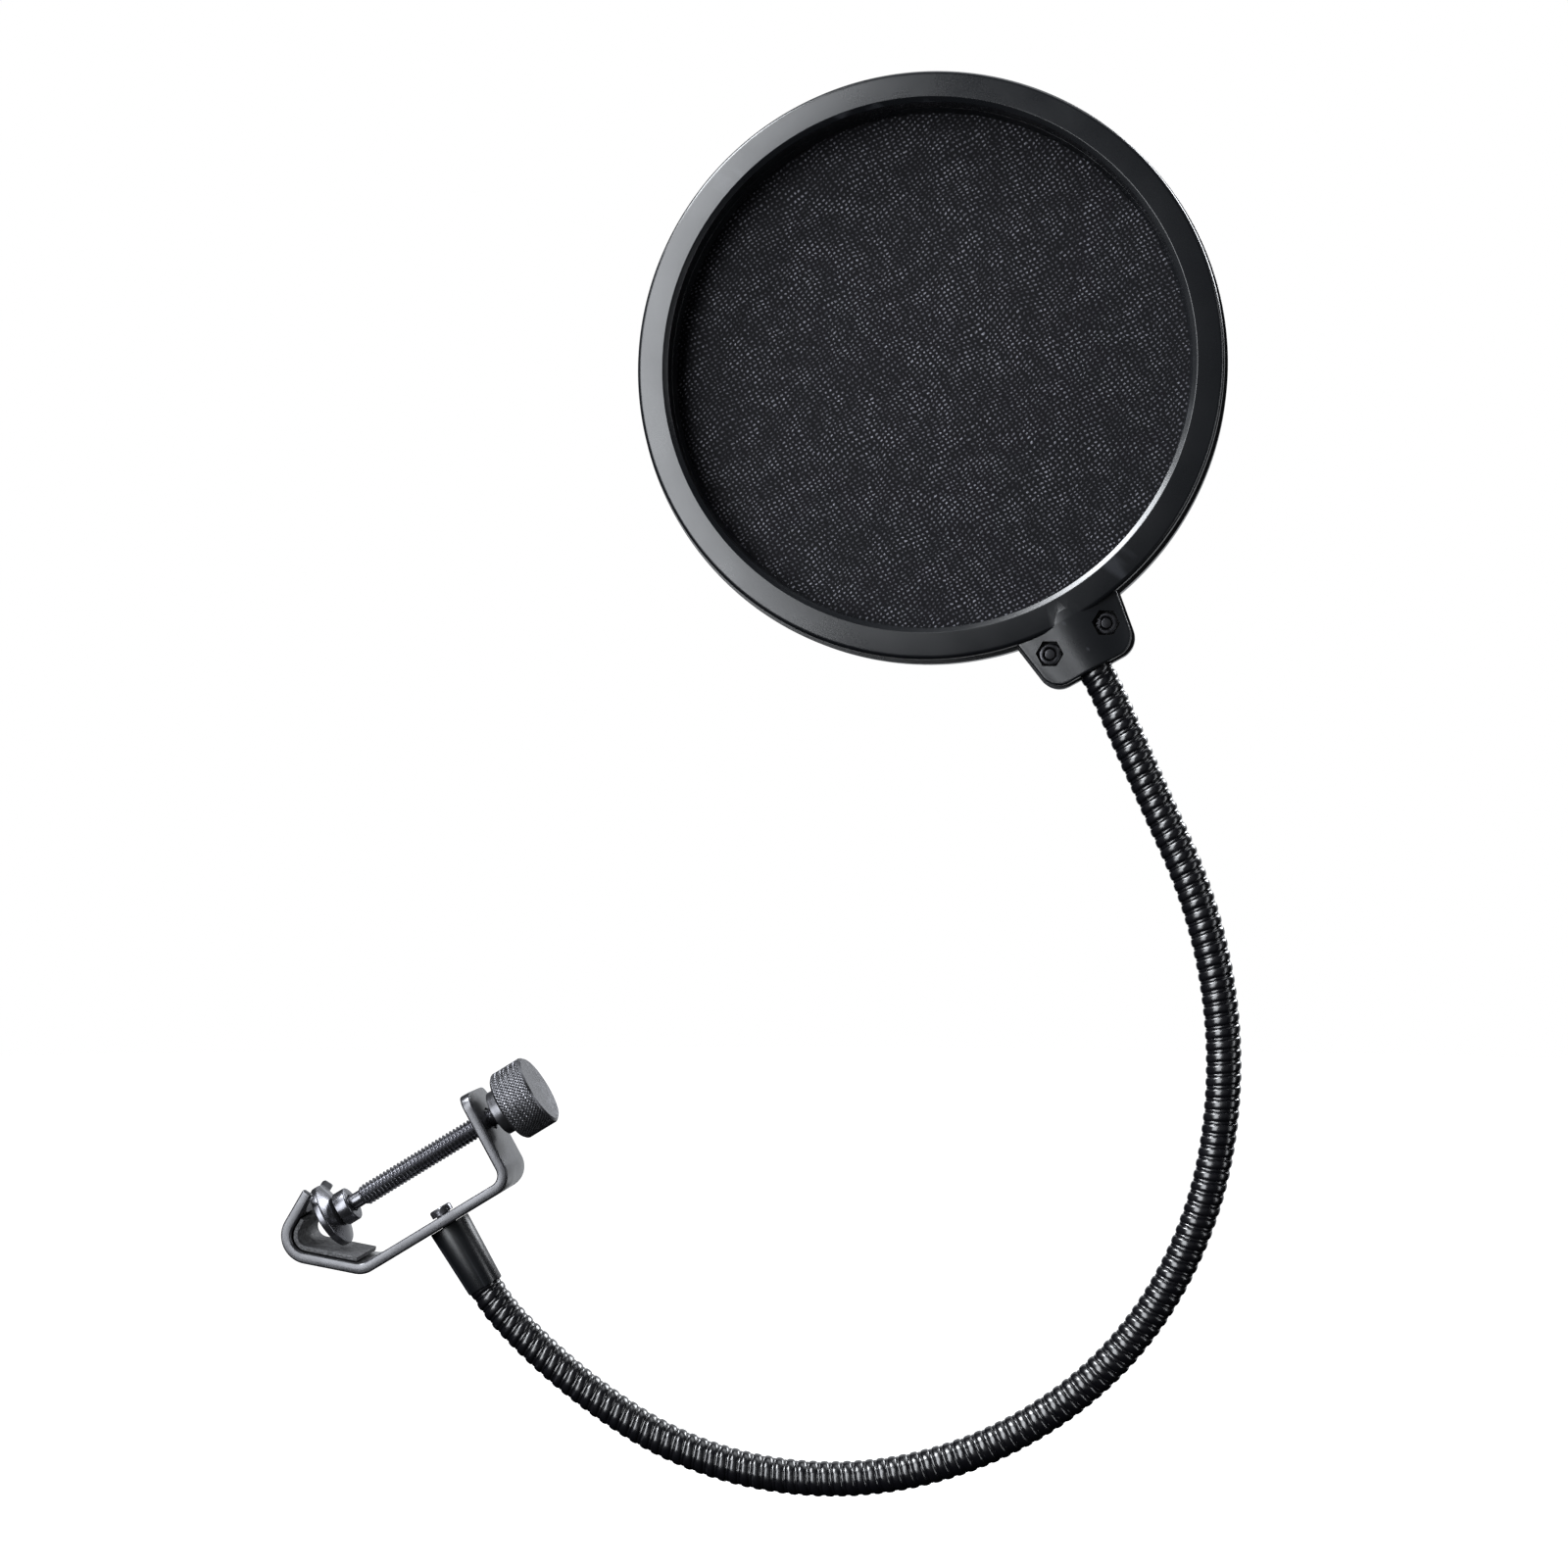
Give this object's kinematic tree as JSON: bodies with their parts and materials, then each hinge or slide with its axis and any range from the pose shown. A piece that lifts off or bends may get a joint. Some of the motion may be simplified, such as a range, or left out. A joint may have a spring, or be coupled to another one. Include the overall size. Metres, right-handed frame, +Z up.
{
  "type": "pop filter",
  "caption": "Round double-screen pop filter on a bendable gooseneck, with a screw clamp that grips a microphone stand or a desk edge.",
  "frame": {"origin": "middle of the clamp's fixed jaw face, on the rubber liner, where the stand's tube sits; the part hangs from it", "axes": "+Z up as the part is used with the clamp's screw tilted 31.5 degrees; +Y through the hoop, from its front to its back; +X to the right seen from the front"},
  "size_m": [0.2539, 0.02, 0.3742],
  "materials": {
    "strap_black": "satin black paint",
    "liner_rubber": "matt, grained",
    "dark_steel": "black nickel, bright",
    "knob_steel": "black nickel, diamond knurl",
    "plain_steel": "plain, turned",
    "black_plastic": "satin black",
    "screen_nylon": "knitted nylon net, stretched",
    "neck_black": "gloss black, ribbed"
  },
  "bodies": {
    "clamp_frame": {"clamp_strap": "strap_black", "jaw_pad": "liner_rubber", "collar_screw": "dark_steel"},
    "collar": {"neck_collar": "black_plastic", "collar_insert": "plain_steel", "neck_link_0": "neck_black"},
    "neck_1": {"neck_link_1": "neck_black"},
    "neck_2": {"neck_link_2": "neck_black"},
    "neck_3": {"neck_link_3": "neck_black"},
    "neck_4": {"neck_link_4": "neck_black"},
    "neck_5": {"neck_link_5": "neck_black"},
    "neck_6": {"neck_link_6": "neck_black"},
    "neck_7": {"neck_link_7": "neck_black"},
    "neck_8": {"neck_link_8": "neck_black"},
    "screen": {"neck_link_9": "neck_black", "neck_ferrule": "plain_steel", "front_ring": "black_plastic", "back_ring": "black_plastic", "front_screen": "screen_nylon", "back_screen": "screen_nylon", "spacer_hoop": "black_plastic", "retaining_hoop": "black_plastic", "tail_screw_left": "dark_steel", "tail_screw_right": "dark_steel", "tail_nut_left": "dark_steel", "tail_nut_right": "dark_steel"},
    "foot_bush": {"foot_bush": "dark_steel"},
    "spindle": {"clamp_spindle": "dark_steel", "clamp_knob": "knob_steel"},
    "foot": {"foot_disc": "dark_steel"}
  },
  "joints": [
    {"name": "neck_swivel", "type": "hinge", "parent": "clamp_frame", "child": "collar", "pos_m": [0.02973, 0, 0.00645], "axis": [0.5225, 0, -0.8526], "range_deg": [-170, 170]},
    {"name": "neck_bend_1", "type": "hinge", "parent": "collar", "child": "neck_1", "pos_m": [0.0472, 0, -0.01943], "axis": [0, -1, 0], "range_deg": [-36, 24]},
    {"name": "neck_bend_2", "type": "hinge", "parent": "neck_1", "child": "neck_2", "pos_m": [0.07877, 0, -0.04423], "axis": [0.5135, 0, 0.8581], "range_deg": [-34, 34]},
    {"name": "neck_bend_3", "type": "hinge", "parent": "neck_2", "child": "neck_3", "pos_m": [0.11651, 0, -0.05738], "axis": [0, 1, 0], "range_deg": [-24, 36]},
    {"name": "neck_bend_4", "type": "hinge", "parent": "neck_3", "child": "neck_4", "pos_m": [0.15641, 0, -0.05469], "axis": [0.2622, 0, -0.965], "range_deg": [-34, 34]},
    {"name": "neck_bend_5", "type": "hinge", "parent": "neck_4", "child": "neck_5", "pos_m": [0.19249, 0, -0.03736], "axis": [0, -1, 0], "range_deg": [-36, 24]},
    {"name": "neck_bend_6", "type": "hinge", "parent": "neck_5", "child": "neck_6", "pos_m": [0.2194, 0, -0.0078], "axis": [-0.8599, 0, 0.5105], "range_deg": [-34, 34]},
    {"name": "neck_bend_7", "type": "hinge", "parent": "neck_6", "child": "neck_7", "pos_m": [0.23325, 0, 0.02976], "axis": [0, 1, 0], "range_deg": [-24, 36]},
    {"name": "neck_bend_8", "type": "hinge", "parent": "neck_7", "child": "neck_8", "pos_m": [0.23409, 0, 0.06985], "axis": [0.9917, 0, 0.1288], "range_deg": [-34, 34]},
    {"name": "neck_bend_9", "type": "hinge", "parent": "neck_8", "child": "screen", "pos_m": [0.2232, 0, 0.10845], "axis": [0, -1, 0], "range_deg": [-36, 24]},
    {"name": "screw_advance", "type": "slide", "parent": "clamp_frame", "child": "foot_bush", "axis": [0.8526, 0, 0.5225], "range_m": [0, 0.036]},
    {"name": "screw_turn", "type": "hinge", "parent": "foot_bush", "child": "spindle", "pos_m": [-0.00229, 0, 0.00876], "axis": [0.8526, 0, 0.5225], "range_deg": [0, 11470]},
    {"name": "foot_tilt", "type": "hinge", "parent": "foot_bush", "child": "foot", "pos_m": [-0.00152, 0, 0.00923], "axis": [0, 1, 0], "range_deg": [-5, 5]}
  ],
  "couplings": [
    {"joint": "screw_turn", "follows": "screw_advance", "rad_per_m": 5560.3}
  ]
}
